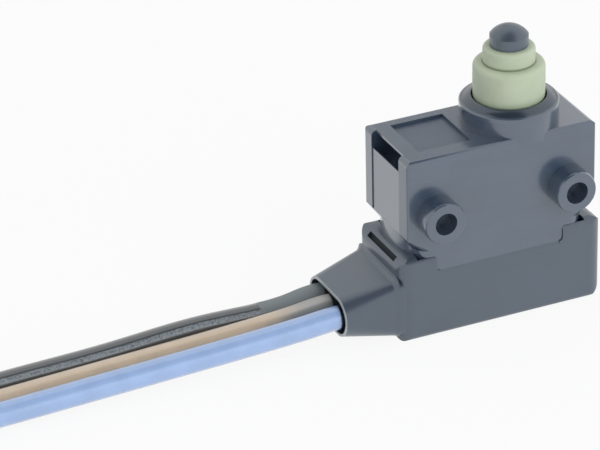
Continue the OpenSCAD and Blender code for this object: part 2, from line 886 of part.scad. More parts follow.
module tail_outline(tail_y) {
    translate([tail_y - tail_w / 2, tail_end])
        square([tail_w, bridge_low + bridge_h - tail_end]);
}

module common_tail() {
    along_x(common_face, strip_t)
        tail_outline(lead_pitch);
}

module nc_tail() {
    along_x(nc_face_x, strip_t)
        tail_outline(0);
}

module no_tail() {
    along_x(no_face_x, strip_t)
        tail_outline(-lead_pitch);
}

module common_strip() {
    along_x(common_face, strip_t)
        strip_outline(post_w, blade_z - seat_gap, lead_pitch);
}

module nc_strip() {
    along_x(nc_face_x, strip_t)
        strip_outline(strip_w, nc_arm_z + strip_t, 0);
}

module no_strip() {
    along_x(no_face_x, strip_t)
        strip_outline(strip_w, no_arm_top, -lead_pitch);
}

module terminal_common() {
    color(brass) {
        common_strip();
        for (s = [-1, 1])
            box(common_face, common_face + strip_t, s * (post_w - ear_w) / 2 - ear_w / 2,
                s * (post_w - ear_w) / 2 + ear_w / 2, blade_z - ear_h, blade_z + ear_h);
        box(common_face, prong_x + strip_t / 2, -post_w / 2, post_w / 2, carrier_top, no_arm_top);
        box(prong_x - strip_t / 2, prong_x + strip_t / 2, -prong_w / 2, prong_w / 2,
            carrier_top, blade_z + prong_h);
    }
}

module terminal_nc() {
    color(brass)
        difference() {
            union() {
                nc_strip();
                box(contact_x - arm_reach, nc_x + strip_t / 2, -strip_w / 2, strip_w / 2,
                    nc_arm_z, nc_arm_z + strip_t);
            }
            contact_shank(nc_arm_z - over, strip_t + 2 * over);
        }
}

module terminal_no() {
    color(brass)
        difference() {
            union() {
                no_strip();
                box(no_face_x, contact_x + arm_reach, -strip_w / 2, strip_w / 2, carrier_top, no_arm_top);
            }
            contact_shank(carrier_top - over, strip_t + 2 * over);
        }
}

module contact_shank(z, h) {
    translate([contact_x, 0, z])
        cylinder(h = h, d = shank_d);
}

module contact_head(z, h) {
    translate([contact_x, 0, z])
        cylinder(h = h, d = contact_d);
}

module contact_nc() {
    color(silver_tip) {
        contact_head(nc_face, nc_head_h);
        contact_shank(nc_face, nc_head_h + strip_t);
    }
}

module contact_no() {
    color(silver_tip) {
        contact_head(no_arm_top, no_face - no_arm_top);
        contact_shank(carrier_top, no_face - carrier_top);
    }
}

module contact_carrier() {
    color(slate_dark)
        difference() {
            box(-chamber_left + seat_gap, chamber_right - seat_gap, -chamber_d / 2 + seat_gap,
                chamber_d / 2 - seat_gap, base_floor, carrier_top);
            common_strip();
            nc_strip();
            no_strip();
        }
}

// Blade with its bowed tongue

module blade_outline() {
    neck_end = pivot_x + strip_t / 2 + blade_tail_gap;
    tail_x = pivot_x - strip_t / 2 - blade_tail_gap;
    translate([tail_x - blade_tail_l, -blade_w / 2])
        square([blade_tail_l, blade_w]);
    translate([tail_x - over / 2, -blade_neck_w / 2])
        square([neck_end - tail_x + over, blade_neck_w]);
    difference() {
        union() {
            translate([neck_end, -blade_w / 2])
                square([contact_x - neck_end, blade_w]);
            translate([contact_x, 0])
                rounded_rect(2 * blade_nose, blade_w, nose_r);
        }
        translate([neck_end + slot_land, -slot_w / 2])
            square([slot_end - neck_end - slot_land, slot_w]);
        translate([contact_x, 0])
            circle(d = shank_d);
    }
}

module tongue_outline() {
    middle = (tongue_tip + slot_end) / 2;
    centre_z = blade_z + blade_t / 2 + tongue_rise - tongue_r;
    intersection() {
        translate([middle, centre_z])
            difference() {
                circle(tongue_r + blade_t / 2, $fn = 128);
                circle(tongue_r - blade_t / 2, $fn = 128);
            }
        translate([tongue_tip, blade_z])
            square([2 * tongue_half + tongue_root, tongue_rise + blade_t]);
    }
}

module contact_blade() {
    color(brass) {
        translate([0, 0, blade_z])
            linear_extrude(blade_t)
                blade_outline();
        along_y(tongue_w)
            tongue_outline();
        translate([button_x, 0, blade_z])
            cylinder(h = blade_t + spring_seat_h, d = spring_seat_d);
    }
}

module moving_contact() {
    color(silver_tip) {
        contact_head(blade_z - contact_h, contact_h);
        contact_shank(blade_z - contact_h, blade_t + 2 * contact_h);
        contact_head(blade_z + blade_t, contact_h);
    }
}

// Conductors and their solder joints

module conductor_black() {
    color(copper)
        black_core();
}

module conductor_brown() {
    color(copper)
        brown_core();
}

module conductor_blue() {
    color(copper)
        blue_core();
}

module solder_joints() {
    color(tin)
        difference() {
            all_solder_spaces();
            black_core();
            brown_core();
            blue_core();
        }
}

// Leads and their hank

module lead_black() {
    color(lead_colours[0])
        swept_bar(lead_route(1), lead_r, lead_sides);
}

module lead_brown() {
    color(lead_colours[1])
        swept_bar(lead_route(0), lead_r, lead_sides);
}

module lead_blue() {
    color(lead_colours[2])
        swept_bar(lead_route(-1), lead_r, lead_sides);
}

module hank_outline(r) {
    translate([hank_x - hank_run, hank_y - r])
        square([hank_run, 2 * r]);
    for (x = [hank_x - hank_run, hank_x])
        translate([x, hank_y])
            circle(r);
}

module lead_hank() {
    color(lead_colours[1])
        translate([0, 0, tie_t])
            linear_extrude(hank_h)
                difference() {
                    hank_outline(hank_out_r + lead_r);
                    hank_outline(hank_in_r - lead_r);
                    difference() {
                        translate([hank_x, hank_y - hank_out_r - 2 * lead_d])
                            square(hank_out_r + 2 * lead_d);
                        translate([hank_x, hank_y])
                            circle(hank_out_r - lead_r - fold_gap);
                    }
                }
}

module hank_tie() {
    half = hank_out_r + lead_r;
    color(slate_dark)
        along_x(hank_x - hank_run / 2 - tie_w / 2, tie_w)
            translate([hank_y, hank_mid_z])
                difference() {
                    rounded_rect(2 * half + 2 * tie_t, hank_h + 2 * tie_t, tie_t);
                    square([2 * half, hank_h], center = true);
                }
}

housing();
base_overmould();
sealing_boot();
plunger();
plunger_retainer();
operating_spring();
contact_carrier();
terminal_common();
terminal_nc();
terminal_no();
contact_nc();
contact_no();
contact_blade();
moving_contact();
conductor_black();
conductor_brown();
conductor_blue();
solder_joints();
lead_black();
lead_brown();
lead_blue();
lead_hank();
hank_tie();
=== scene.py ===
# %% [markdown]
# # Sealed pushbutton micro switch
# A small snap-action switch: a moulded housing with two hollow pegs, a rubber boot round its plunger,
# and an overmoulded base whose gland lets out three loose leads. The CAD frame holds the rigid pieces
# at their true size. This lesson dresses it: soft pieces, leads, finishes, light and camera.
# Blender reckons in metres. Sizes are written in millimetres here, and MM turns them into metres.

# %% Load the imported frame
import math

import bpy
import bmesh
from mathutils import Matrix, Vector


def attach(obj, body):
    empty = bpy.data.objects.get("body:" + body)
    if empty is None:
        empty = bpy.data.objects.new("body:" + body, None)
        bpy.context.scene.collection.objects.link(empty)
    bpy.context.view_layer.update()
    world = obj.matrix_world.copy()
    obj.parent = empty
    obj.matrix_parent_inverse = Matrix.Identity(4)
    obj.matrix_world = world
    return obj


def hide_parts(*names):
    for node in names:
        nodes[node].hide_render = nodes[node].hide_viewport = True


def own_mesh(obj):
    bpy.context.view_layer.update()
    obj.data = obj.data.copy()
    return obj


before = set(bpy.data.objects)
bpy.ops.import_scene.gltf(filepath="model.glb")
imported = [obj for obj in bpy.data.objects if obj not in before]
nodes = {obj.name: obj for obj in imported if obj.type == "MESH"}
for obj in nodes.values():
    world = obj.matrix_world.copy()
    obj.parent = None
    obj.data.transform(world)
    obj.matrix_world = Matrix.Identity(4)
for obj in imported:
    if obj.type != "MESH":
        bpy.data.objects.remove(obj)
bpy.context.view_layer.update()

MM = 0.001
scene = bpy.context.scene


def put(name, data):
    """Links a new object into the scene, at the origin."""
    made = bpy.data.objects.new(name, data)
    scene.collection.objects.link(made)
    return made


print("CAD nodes:", len(nodes))

# %% [markdown]
# ## Camera
# The photograph was taken with a long lens from the front left, a little above. The place of the camera and
# its lens were worked out from the edges of the housing. The picture's middle lies to the left of the switch,
# so the camera is turned towards it and needs no lens shift.

# %% Camera
PHOTO_SIZE = (600, 450)
FOCAL_PX, SENSOR_MM = 4000.0, 36.0
CAMERA_AT = (-154.33, -302.88, 190.75)
VIEW_AZ, VIEW_EL = math.radians(-27), math.radians(28)
AIM_PX = (480.13, 206.11)  # where the sight line of VIEW_AZ and VIEW_EL meets the picture
view_back = Vector((math.sin(VIEW_AZ) * math.cos(VIEW_EL), -math.cos(VIEW_AZ) * math.cos(VIEW_EL),
                    math.sin(VIEW_EL)))
view_right = (-view_back).cross(Vector((0, 0, 1))).normalized()
view_up = view_right.cross(-view_back)
middle_ray = (-view_back * FOCAL_PX + view_right * (PHOTO_SIZE[0] / 2 - AIM_PX[0])
              - view_up * (PHOTO_SIZE[1] / 2 - AIM_PX[1]))
upright = Matrix((view_right, view_up, view_back)).transposed().to_quaternion()
camera = put("camera", bpy.data.cameras.new("camera"))
camera.location = Vector(CAMERA_AT) * MM
camera.rotation_mode = "QUATERNION"
camera.rotation_quaternion = (-view_back).rotation_difference(middle_ray) @ upright
camera.data.sensor_width = SENSOR_MM
camera.data.lens = FOCAL_PX * SENSOR_MM / PHOTO_SIZE[0]
camera.data.clip_start, camera.data.clip_end = 0.05, 20
scene.camera = camera
print("lens", camera.data.lens, "mm")

# %% [markdown]
# ## Finishes as sums
# A finish is a small network of shader nodes. Writing it as Python sums keeps it readable: a Sock wraps one
# node socket, and adding or multiplying two of them adds the Math node that does it.

# %% A socket that can be reckoned with
class Sock:
    def __init__(self, finish, socket):
        self.finish, self.socket = finish, socket

    def sum(self, operation, *values):
        return self.finish.node("ShaderNodeMath", {"operation": operation}, dict(enumerate(values)))

    def __add__(self, other):
        return self.sum("ADD", self, other)

    def __sub__(self, other):
        return self.sum("SUBTRACT", self, other)

    def __rsub__(self, other):
        return self.sum("SUBTRACT", other, self)

    def __mul__(self, other):
        return self.sum("MULTIPLY", self, other)

    def __pow__(self, other):
        return self.sum("POWER", self, other)

    def __abs__(self):
        return self.sum("ABSOLUTE", self)

    def most(self, other):
        return self.sum("MAXIMUM", self, other)

    def fraction(self):
        return self.sum("FRACT", self)

    __radd__, __rmul__ = __add__, __mul__


print("socket sums ready")

# %% [markdown]
# One method, node(), makes every other kind of node: it takes the node's type, its settings and what its
# sockets hold. The methods after it only give short names to the nodes that the finishes use most.

# %% A finish and its nodes
EDGE_SOFT = 0.05


class Finish:
    """The node tree of one material, or of the world."""

    def __init__(self, name, world=False):
        self.made = bpy.data.worlds.new(name) if world else bpy.data.materials.new(name)
        self.made.use_nodes = True
        self.tree = self.made.node_tree
        self.tree.nodes.clear()
        self.output = self.tree.nodes.new("ShaderNodeOutputWorld" if world else "ShaderNodeOutputMaterial")

    def node(self, kind, settings=None, sockets=None, out=0):
        made = self.tree.nodes.new(kind)
        for key, value in (settings or {}).items():
            setattr(made, key, value)
        for key, value in (sockets or {}).items():
            if isinstance(value, Sock):
                self.tree.links.new(value.socket, made.inputs[key])
            elif made.inputs[key].type == "RGBA":
                made.inputs[key].default_value = (*value, 1)
            else:
                made.inputs[key].default_value = value
        return Sock(self, made.outputs[out])

    def place(self):
        return self.node("ShaderNodeTexCoord", out="Object")

    def split(self, vector):
        made = self.node("ShaderNodeSeparateXYZ", sockets={0: vector}).socket.node
        return [Sock(self, socket) for socket in made.outputs]

    def stretch(self, vector, scale):
        return self.node("ShaderNodeMapping", sockets={"Vector": vector, "Scale": scale})

    def noise(self, vector, per_mm, detail=3.0, rough=0.55):
        return self.node("ShaderNodeTexNoise", None,
                         {"Vector": vector, "Scale": per_mm / MM, "Detail": detail, "Roughness": rough})

    def ramp(self, value, low, high, to_low=0.0, to_high=1.0):
        return self.node("ShaderNodeMapRange", {"interpolation_type": "SMOOTHSTEP"},
                         {"Value": value, "From Min": low, "From Max": high,
                          "To Min": to_low, "To Max": to_high})

    def fade(self, place, span_mm, to_low=0.0, to_high=1.0):
        return self.ramp(place, span_mm[0] * MM, span_mm[1] * MM, to_low, to_high)

    def over(self, place, low_mm, soft=EDGE_SOFT):
        return self.fade(place, (low_mm - soft, low_mm + soft))

    def under(self, place, high_mm, soft=EDGE_SOFT):
        return self.fade(place, (high_mm - soft, high_mm + soft), 1.0, 0.0)

    def inside(self, place, low_mm, high_mm):
        return self.over(place, low_mm) * self.under(place, high_mm)

    def mix(self, factor, first, second):
        return self.node("ShaderNodeMix", {"data_type": "RGBA"}, {0: factor, 6: first, 7: second}, 2)

    def bump(self, height, depth_mm, strength):
        return self.node("ShaderNodeBump", None,
                         {"Height": height, "Distance": depth_mm * MM, "Strength": strength})

    def show(self, shader):
        self.tree.links.new(shader.socket, self.output.inputs["Surface"])
        return self.made

    def surface(self, **sockets):
        values = {key.replace("_", " "): value for key, value in sockets.items()}
        return self.show(self.node("ShaderNodeBsdfPrincipled", None, values, "BSDF"))


print("finish tools ready")

# %% [markdown]
# ## Moulded plastics
# The housing is glass-filled plastic with a satin skin: the colour is nearly even, and what shows is a faint
# cloudiness from the melt and a very fine grain. The base is moulded over it later, in a darker, duller mix.
# Noise in the piece's own space makes all of it, because it needs no unwrapping and leaves no seam.

# %% Moulded plastics
CLOUDS_PER_MM, GRAIN_PER_MM, FLOW_PER_MM = 0.22, 5.0, 0.6
FLOW_STRETCH, FLOW_ROUGH, GRAIN_STRENGTH = (0.25, 1.0, 1.6), 0.07, 0.12
CLOUD_SHARE, FLOW_SHARE, MOTTLE = 0.6, 0.4, (0.35, 0.65)
PLASTIC_IOR, PLASTIC_TINT, SKIN_IOR, SKIN_ROUGH = 1.85, (0.86, 0.95, 1.0), 1.6, 0.5


def shaded(colour, share):
    return tuple(min(1, c * share) for c in colour)


def moulded(name, colour, roughness, skin, grain_mm, cloud, marks=None):
    finish = Finish(name)
    spot = finish.place()
    clouds = finish.noise(spot, CLOUDS_PER_MM, detail=4.0)
    grain = finish.noise(spot, GRAIN_PER_MM, detail=2.0)
    flow = finish.noise(finish.stretch(spot, FLOW_STRETCH), FLOW_PER_MM)
    mottle = finish.ramp(clouds * CLOUD_SHARE + flow * FLOW_SHARE, *MOTTLE)
    shade = finish.mix(mottle, shaded(colour, 1 - cloud), shaded(colour, 1 + cloud))
    rough = roughness + (flow - 0.5) * FLOW_ROUGH
    if marks:
        shade, rough, skin = marks(finish, spot, shade, rough, skin)
    return finish.surface(
        Base_Color=shade,
        Roughness=rough,
        IOR=PLASTIC_IOR,
        Specular_Tint=PLASTIC_TINT,
        Coat_Weight=skin,
        Coat_Roughness=roughness * SKIN_ROUGH,
        Coat_IOR=SKIN_IOR,
        Normal=finish.bump(grain, grain_mm, GRAIN_STRENGTH))


print("grain of the plastics:", GRAIN_PER_MM, "per mm")

# %% [markdown]
# Some places of the two mouldings look different. On the housing, the sunk field in the top, the front strip
# of the left end and the end of the collar are duller, and the end of the collar also gets painted shade. On
# the base, the gland's lip gets a painted highlight, and the slots in the rim get painted shade inside. Each
# mark is a mask: soft steps along the axes, multiplied.

# %% Marks on the housing
BUTTON_X = 3.05
RECESS_BOX = ((-8.0, -2.3), (-2.9, 3.45), (18.5, 18.9))
END_STRIP_BOX = ((-10.1, -9.95), (-4.5, -2.77), (8.0, 18.4))
GLOSS_LOSS = ((RECESS_BOX, 0.75), (END_STRIP_BOX, 0.45))
DULL_ROUGH = 0.12
COLLAR_END_R, COLLAR_END_Z = (3.55, 4.56), (20.95, 21.0)
PAINTED_COLLAR_SHADE, PAINTED_COLLAR_SHARE = (0.006, 0.009, 0.015), 0.6


def from_button(x, y):
    """Distance from the plunger's axis."""
    across = x - BUTTON_X * MM
    return (across * across + y * y) ** 0.5


def dull_fields_and_collar_shade(finish, spot, shade, rough, skin):
    x, y, z = finish.split(spot)
    for box, gloss_loss in GLOSS_LOSS:
        dull = 1.0
        for axis, span in zip((x, y, z), box):
            dull = dull * finish.inside(axis, *span)
        rough = rough + dull * DULL_ROUGH
        skin = (1.0 - dull * gloss_loss) * skin
    collar_end = finish.inside(from_button(x, y), *COLLAR_END_R) * finish.fade(z, COLLAR_END_Z)
    # Painted shade: the end of the collar is darkened towards near-black, standing in for a dark reflection.
    shade = finish.mix(collar_end * PAINTED_COLLAR_SHARE, shade, PAINTED_COLLAR_SHADE)
    return shade, rough, (1.0 - collar_end) * skin


print("dull fields:", len(GLOSS_LOSS), "and the end of the collar")

# %% Marks on the base
LIP_X, LIP_SOFT, LIP_PAINTED_HIGHLIGHT = -16.22, 0.04, (0.36, 0.39, 0.41)
SLOT_X, SLOT_Z, SLOT_TILT = 9.55, 7.35, math.radians(42)
SLOT_DEPTH, SLOT_HALF_W, SLOT_HALF_L = (0.8, 1.24), 0.3, 2.93
SLOT_PAINTED_SHADE, SLOT_ROUGH = (0.008, 0.011, 0.014), 0.5


def lip_highlight_and_slot_shade(finish, spot, shade, rough, skin):
    x, y, z = finish.split(spot)
    # Painted highlight: the gland's lip is lightened where its edge would catch the light.
    lip = finish.under(x, LIP_X, LIP_SOFT)
    # Painted shade: the slots in the rim are darkened inside.
    out, up = abs(x) - SLOT_X * MM, z - SLOT_Z * MM
    depth = out * math.cos(SLOT_TILT) + up * math.sin(SLOT_TILT)
    across = abs(out * math.sin(SLOT_TILT) - up * math.cos(SLOT_TILT))
    slot = (finish.inside(depth, *SLOT_DEPTH) * finish.under(across, SLOT_HALF_W)
            * finish.under(abs(y), SLOT_HALF_L))
    shade = finish.mix(slot, finish.mix(lip, shade, LIP_PAINTED_HIGHLIGHT), SLOT_PAINTED_SHADE)
    return shade, rough + slot * SLOT_ROUGH, (1.0 - slot) * skin


print("slot in the rim:", 2 * SLOT_HALF_L, "by", 2 * SLOT_HALF_W, "mm")

# %% Plastics of this switch
housing_plastic = moulded("housing_plastic", (0.046, 0.068, 0.108), roughness=0.26, skin=0.85,
                          grain_mm=0.003, cloud=0.07, marks=dull_fields_and_collar_shade)
base_plastic = moulded("base_plastic", (0.042, 0.060, 0.090), roughness=0.40, skin=0.45,
                       grain_mm=0.006, cloud=0.06, marks=lip_highlight_and_slot_shade)
button_plastic = moulded("button_plastic", (0.054, 0.074, 0.101), roughness=0.42, skin=0.3,
                         grain_mm=0.008, cloud=0.10)
carrier_plastic = moulded("carrier_plastic", (0.05, 0.05, 0.05), roughness=0.5, skin=0.0,
                          grain_mm=0.006, cloud=0.08)
tie_plastic = moulded("tie_plastic", (0.035, 0.036, 0.040), roughness=0.4, skin=0.0,
                      grain_mm=0.005, cloud=0.08)
print("nodes in the housing's finish:", len(housing_plastic.node_tree.nodes))

# %% [markdown]
# ## Metals
# Inside are brass strips, silver contacts, a steel spring, tinned joints and bare copper. Little of them
# shows, so one recipe serves them all: a colour that dulls in patches, and drawn streaks in the roughness.
# Noise that is stretched one way makes the streaks.

# %% Metals
DRAWN_PER_MM, DRAWN_ROUGH, DRAWN_DEPTH, DRAWN_STRENGTH = 1.4, 0.2, 0.003, 0.3
TARNISH_PER_MM, TARNISH, TARNISH_SHADE = 0.5, (0.4, 0.7), 0.8


def metal(name, colour, roughness, streak=(1, 1, 1)):
    finish = Finish(name)
    spot = finish.place()
    drawn = finish.noise(finish.stretch(spot, streak), DRAWN_PER_MM, detail=4.0)
    tarnish = finish.ramp(finish.noise(spot, TARNISH_PER_MM), *TARNISH)
    return finish.surface(
        Base_Color=finish.mix(tarnish, colour, shaded(colour, TARNISH_SHADE)),
        Metallic=1.0,
        Roughness=roughness + (drawn - 0.5) * DRAWN_ROUGH,
        Normal=finish.bump(drawn, DRAWN_DEPTH, DRAWN_STRENGTH))


terminal_brass = metal("terminal_brass", (0.72, 0.55, 0.28), 0.32, streak=(1, 1, 0.1))
contact_silver = metal("contact_silver", (0.80, 0.80, 0.78), 0.22)
spring_steel = metal("spring_steel", (0.55, 0.56, 0.57), 0.28, streak=(1, 1, 0.4))
conductor_copper = metal("conductor_copper", (0.72, 0.40, 0.25), 0.35, streak=(0.1, 1, 1))
solder_tin = metal("solder_tin", (0.62, 0.63, 0.64), 0.30)
print("nodes in a metal finish:", len(solder_tin.node_tree.nodes))

# %% [markdown]
# ## Boot rubber
# The boot is pale green silicone rubber. Light goes a little way into it, so it gets some subsurface
# scattering, which softens its shading. Painted shade darkens it down in the collar and in the crease between
# its two tiers. Height and the distance from the plunger's axis place both.

# %% Boot rubber
BOOT_PALE, BOOT_PALEST = (0.49, 0.555, 0.41), (0.53, 0.595, 0.445)
BOOT_LOW_PAINTED_SHADE, BOOT_CREASE_PAINTED_SHADE = (0.36, 0.44, 0.30), (0.16, 0.20, 0.11)
LOW_SHADE_Z, CREASE_R, CREASE_SHARE = (21.3, 22.2), (2.53, 2.7), 0.85
CREASE_LOW_Z, CREASE_HIGH_Z = (24.6, 24.8), (24.98, 25.2)
BOOT_ROUGH, BLOOM_PER_MM, BLOOM, BLOOM_ROUGH = 0.5, 0.5, (0.3, 0.7), 0.2


def boot_rubber_finish():
    finish = Finish("boot_rubber")
    spot = finish.place()
    x, y, z = finish.split(spot)
    bloom = finish.noise(spot, BLOOM_PER_MM, detail=4.0)
    even = finish.mix(finish.ramp(bloom, *BLOOM), BOOT_PALE, BOOT_PALEST)
    # Painted shade in the crease between the two tiers.
    crease = (finish.fade(from_button(x, y), CREASE_R, CREASE_SHARE, 0.0)
              * finish.fade(z, CREASE_LOW_Z) * finish.fade(z, CREASE_HIGH_Z, 1.0, 0.0))
    # Painted shade: the boot is darker down in the collar.
    clean = finish.mix(finish.fade(z, LOW_SHADE_Z), BOOT_LOW_PAINTED_SHADE, even)
    return finish.surface(
        Base_Color=finish.mix(crease, clean, BOOT_CREASE_PAINTED_SHADE),
        Roughness=BOOT_ROUGH + (bloom - 0.5) * BLOOM_ROUGH,
        Subsurface_Weight=0.15,
        Subsurface_Radius=(0.6, 0.7, 0.45),
        Subsurface_Scale=0.8 * MM,
        Normal=finish.bump(finish.noise(spot, GRAIN_PER_MM), depth_mm=0.008, strength=0.4))


boot_rubber = boot_rubber_finish()
print("nodes in the boot's finish:", len(boot_rubber.node_tree.nodes))

# %% [markdown]
# ## Lead insulation
# PVC comes off the extruder with a soft shine and faint lines along its length. Near the gland a skin of the
# base's plastic has crept out over the rear two leads and greys them, more darkly on the brown lead's front.
# In the gland's mouth all three get painted shade. A band of pale specks runs along the black one, placed by
# the lead's own UV, so that it follows every bend.

# %% Lead insulation
LINE_STRETCH, LINES_PER_MM, LINE_ROUGH = (0.04, 1.0, 1.0), 3.0, 0.18
LINE_DEPTH, LINE_STRENGTH = 0.01, 0.35
BLOTCH_PER_MM, BLOTCH, BLOTCH_DARK, BLOTCH_PALE = 0.35, (0.3, 0.7), 0.94, 1.05
MOUTH_SHADE_EDGE, MOUTH_SHADE_SOFT, MOUTH_SHADE_SLANT, MOUTH_PAINTED_SHADE = -16.1, 0.1, 0.12, (0.008, 0.011, 0.013)
FILM_FRONT_Y, FILM_FRAY_PER_MM, FILM_FRAY, FILM_ROUGH = (-0.88, -0.45), 0.6, 0.5, 0.25
BAND_SOFT, SPECKS_PER_MM, SPECKS, SPECK_ROUGH = 0.012, 5.0, (0.22, 0.62), 0.2


def film_over(finish, spot, film):
    """The film's cover and its shade. It ends at film["end"] in front, and nearer the gland on the back."""
    along, across = finish.split(spot)[:2]
    back = finish.fade(across, FILM_FRONT_Y)
    fray = (finish.noise(spot, FILM_FRAY_PER_MM, detail=2.0) - 0.5) * (FILM_FRAY * film["fade"] * MM)
    cover = finish.over(along - back * (film["back_shift"] * MM) + fray, film["end"], film["fade"])
    return cover, finish.mix(back, film["front"], film["back"])


def speck_band(finish, spot, low, high):
    """Specks between two shares of the way round the lead."""
    around = finish.split(finish.node("ShaderNodeTexCoord", out="UV"))[1]
    turned = (around + 0.5).fraction()
    band = (finish.ramp(turned, low - BAND_SOFT, low + BAND_SOFT)
            * finish.ramp(turned, high - BAND_SOFT, high + BAND_SOFT, 1.0, 0.0))
    return band * finish.ramp(finish.noise(spot, SPECKS_PER_MM, rough=0.7), *SPECKS)


def insulation(name, colour, roughness, ior, film=None, specks=None):
    finish = Finish(name)
    spot = finish.place()
    along, across = finish.split(spot)[:2]
    lines = finish.noise(finish.stretch(spot, LINE_STRETCH), LINES_PER_MM)
    blotch = finish.ramp(finish.noise(spot, BLOTCH_PER_MM), *BLOTCH)
    shade = finish.mix(blotch, shaded(colour, BLOTCH_DARK), shaded(colour, BLOTCH_PALE))
    rough = roughness + (lines - 0.5) * LINE_ROUGH
    bare = 1.0
    if film:
        cover, film_shade = film_over(finish, spot, film)
        bare = 1.0 - cover
        shade = finish.mix(cover, shade, film_shade)
        rough = rough + cover * FILM_ROUGH
    if specks:
        specked = speck_band(finish, spot, *specks["band"]) * bare
        shade = finish.mix(specked, shade, specks["shade"])
        rough = rough + specked * SPECK_ROUGH
    # Painted shade: the leads are darkened, with no gloss, where they enter the gland's mouth.
    mouth_shade = finish.over(along - across * MOUTH_SHADE_SLANT, MOUTH_SHADE_EDGE, MOUTH_SHADE_SOFT)
    return finish.surface(
        Base_Color=finish.mix(mouth_shade, shade, MOUTH_PAINTED_SHADE),
        Roughness=rough,
        IOR=ior,
        Coat_Weight=(1.0 - mouth_shade) * bare,
        Coat_Roughness=roughness * SKIN_ROUGH,
        Coat_IOR=SKIN_IOR,
        Normal=finish.bump(lines, LINE_DEPTH, LINE_STRENGTH))


BLACK_FILM = (0.185, 0.215, 0.228)
lead_black_pvc = insulation(
    "lead_black_pvc", (0.020, 0.027, 0.034), roughness=0.32, ior=1.8,
    film={"end": -22.55, "fade": 0.12, "front": BLACK_FILM, "back": BLACK_FILM, "back_shift": 0.0},
    specks={"band": (0.508, 0.581), "shade": (0.25, 0.29, 0.325)})
lead_brown_pvc = insulation(
    "lead_brown_pvc", (0.63, 0.495, 0.355), roughness=0.36, ior=1.6,
    film={"end": -22.3, "fade": 2.8, "front": (0.22, 0.225, 0.22), "back": (0.45, 0.44, 0.42),
          "back_shift": 1.5})
lead_blue_pvc = insulation("lead_blue_pvc", (0.33, 0.48, 0.78), roughness=0.34, ior=1.6)
print("nodes in the black lead's finish:", len(lead_black_pvc.node_tree.nodes))

# %% [markdown]
# ## Leads
# Each lead is a 2.36 mm single core, 250 mm long. The photograph shows the first 35 mm of it, so the rest is
# folded into a flat hank in line with the switch, just outside the picture. The three leave the gland
# side by side. On their way to the hank the row turns upright, so that they lie in it as three layers. The
# routes are reckoned from a few sizes and not drawn by hand, so the leads keep their distance all the way.

# %% Routes of the leads
LEAD_D, LEAD_PITCH, MOUTH_Z, LEAD_START = 2.36, 2.4, 3.1, -15.1
LEAD_STRAIGHT, LEAD_RUN, ROUTE_STEPS = 1.9, 54.4, 18
LEAD_FALL, LEAD_WAVE, WAVE_L, WAVE_FADE = 0.036, 0.45, 19.0, 12.0
TWIST_FROM, TWIST_SPREAD, SIDE_STEP = 36.0, 0.8, 1.2
SAG, SAG_IN = {-1: 0.25, 0: 0.4, 1: 0.1}, 4.0
HANK_Y, HANK_RUN, TIE_T = 4.1, 30.5, 0.3
HANK_IN_R = 3 * LEAD_D
HANK_OUT_R = HANK_IN_R + LEAD_D
HANK_X = LEAD_START - LEAD_RUN
HANK_MID_Z = TIE_T + LEAD_PITCH + LEAD_D / 2
ROUTE_STEP = (LEAD_RUN - LEAD_STRAIGHT) / ROUTE_STEPS
LAST_RUN, TIP_L = 24.0, 5.0


def lead_point(far, place):
    """A point of the stretch to the hank. place is -1, 0 or 1 for the front, middle or back lead."""
    past = max(0.0, far - LEAD_STRAIGHT)
    t = max(0.0, min(1.0, (far - TWIST_FROM) / (LEAD_RUN - ROUTE_STEP - TWIST_FROM)))
    turned = t * t * (3 - 2 * t)
    row = LEAD_PITCH + TWIST_SPREAD * turned * (1 - turned)
    line_z = MOUTH_Z - LEAD_FALL * past
    wave = -LEAD_WAVE * math.sin(2 * math.pi * past / WAVE_L) * math.exp(-past / WAVE_FADE)
    sag = SAG[place] * (1 - math.exp(-past / SAG_IN))
    angle = math.pi / 2 * turned
    mid_y = (HANK_Y - HANK_OUT_R) * turned ** SIDE_STEP
    mid_z = line_z + (HANK_MID_Z - line_z) * math.sin(angle)
    return Vector((LEAD_START - far, mid_y + place * row * math.cos(angle),
                   mid_z + place * row * math.sin(angle) + (1 - turned) * (max(0, place) * wave - sag)))


def fold(centre_x, from_r, to_r, from_deg, to_deg, z, steps=12):
    made = []
    for i in range(1, steps + 1):
        a = math.radians(from_deg + (to_deg - from_deg) * i / steps)
        r = from_r + (to_r - from_r) * i / steps
        made.append(Vector((centre_x + r * math.cos(a), HANK_Y + r * math.sin(a), z)))
    return made


def straight(start, end, steps=5):
    return [start.lerp(end, i / steps) for i in range(1, steps + 1)]


def lead_route(place):
    z = HANK_MID_Z + place * LEAD_PITCH
    far_x = HANK_X - HANK_RUN
    path = [lead_point(0, place)]
    path += [lead_point(LEAD_STRAIGHT + i * ROUTE_STEP, place) for i in range(ROUTE_STEPS + 1)]
    path += straight(path[-1], Vector((far_x, HANK_Y - HANK_OUT_R, z)))
    path += fold(far_x, HANK_OUT_R, HANK_OUT_R, 270, 90, z)
    path += straight(path[-1], Vector((HANK_X, HANK_Y + HANK_OUT_R, z)))
    path += fold(HANK_X, HANK_OUT_R, HANK_IN_R, 90, -90, z)
    path += straight(path[-1], Vector((far_x, HANK_Y - HANK_IN_R, z)))
    path += fold(far_x, HANK_IN_R, HANK_IN_R, 270, 90, z)
    path += straight(path[-1], Vector((far_x + LAST_RUN, HANK_Y + HANK_IN_R, z)))
    return path


for place in (-1, 0, 1):
    points = lead_route(place)
    sum((b - a).length for a, b in zip(points, points[1:]))

# %% [markdown]
# A curve with a round bevel makes a lead in one go. Its bare end is a twist of seven tinned strands. They
# repeat round a circle and follow the lead, so a Geometry Nodes tree makes them. The tree's sizes are named
# inputs, and its result is kept as a plain mesh.

# %% Tools for trees
NUMBER, COUNT, MATERIAL = "NodeSocketFloat", "NodeSocketInt", "NodeSocketMaterial"


